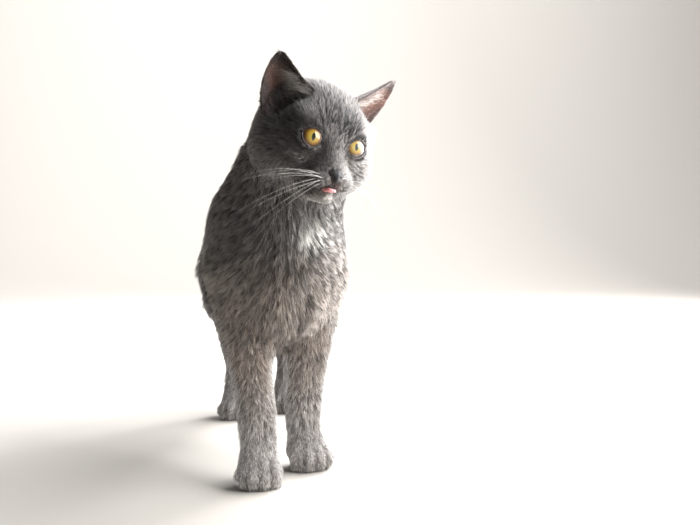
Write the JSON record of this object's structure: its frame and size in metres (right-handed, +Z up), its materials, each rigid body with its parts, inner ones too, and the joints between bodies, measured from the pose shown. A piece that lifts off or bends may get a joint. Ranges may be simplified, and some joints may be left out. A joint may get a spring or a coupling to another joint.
{
  "type": "cat",
  "caption": "Life-size standing domestic cat with a short dense blue-grey coat, amber eyes, head turned to its left and the tongue tip showing.",
  "frame": {"origin": "on the floor, under the middle of the bounding box", "axes": "+Z up; the body faces -Y and the cat's left side is +X"},
  "size_m": [0.1844, 0.6332, 0.3782],
  "materials": {
    "coat": "short dense fur",
    "eye": "wet, clear and glossy",
    "nose": "fine-pebbled bare skin, slightly moist",
    "tongue": "moist"
  },
  "bodies": {
    "root": {"trunk": "coat", "neck": "coat", "head": "coat", "lower_jaw": "coat", "nose": "nose", "tongue": "tongue", "eye_right": "eye", "eye_left": "eye", "ear_right": "coat", "ear_left": "coat", "upper_arm_front_right": "coat", "forearm_front_right": "coat", "paw_front_right": "coat", "upper_arm_front_left": "coat", "forearm_front_left": "coat", "paw_front_left": "coat", "thigh_hind_right": "coat", "shank_hind_right": "coat", "paw_hind_right": "coat", "thigh_hind_left": "coat", "shank_hind_left": "coat", "paw_hind_left": "coat", "tail_base": "coat", "tail_middle": "coat", "tail_tip": "coat"}
  },
  "joints": []
}
